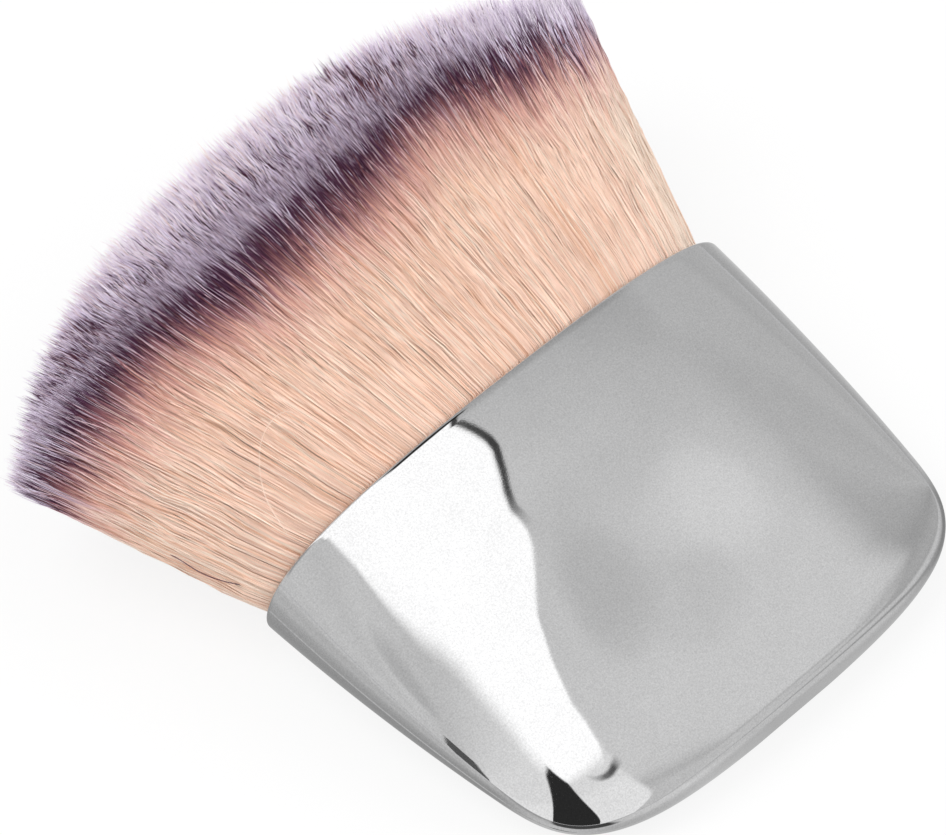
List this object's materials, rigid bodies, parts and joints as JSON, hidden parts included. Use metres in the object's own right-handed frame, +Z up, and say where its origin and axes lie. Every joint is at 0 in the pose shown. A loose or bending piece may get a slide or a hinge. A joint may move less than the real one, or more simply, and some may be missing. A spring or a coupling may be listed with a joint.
{
  "type": "kabuki makeup brush",
  "caption": "Short flat kabuki makeup brush: metallised wedge handle with a flared oval mouth and a dense domed fan of bristles, lying on its back.",
  "frame": {"origin": "on the table, at the centre of the flattened back that the handle lies on", "axes": "+Z up from the table, +X across the brush to its right as seen from the toe, +Y from toe to bristles along the back"},
  "size_m": [0.0766, 0.0736, 0.026],
  "materials": {
    "plated_shell": "metallised satin silver on moulded plastic",
    "cup_metal": "drawn, bare",
    "adhesive": "cured glue",
    "weight_steel": "plain steel",
    "resin": "cured potting resin",
    "band_rubber": "matte",
    "bristles": "fine synthetic fibre, peach at the roots, plum above, white at the tips"
  },
  "bodies": {
    "root": {"handle_shell": "plated_shell", "tuft_cup": "cup_metal", "cup_adhesive": "adhesive", "base_weight": "weight_steel", "weight_adhesive": "adhesive", "root_epoxy": "resin", "root_band": "band_rubber", "front_bristles": "bristles", "middle_bristles": "bristles", "back_bristles": "bristles"}
  },
  "joints": []
}
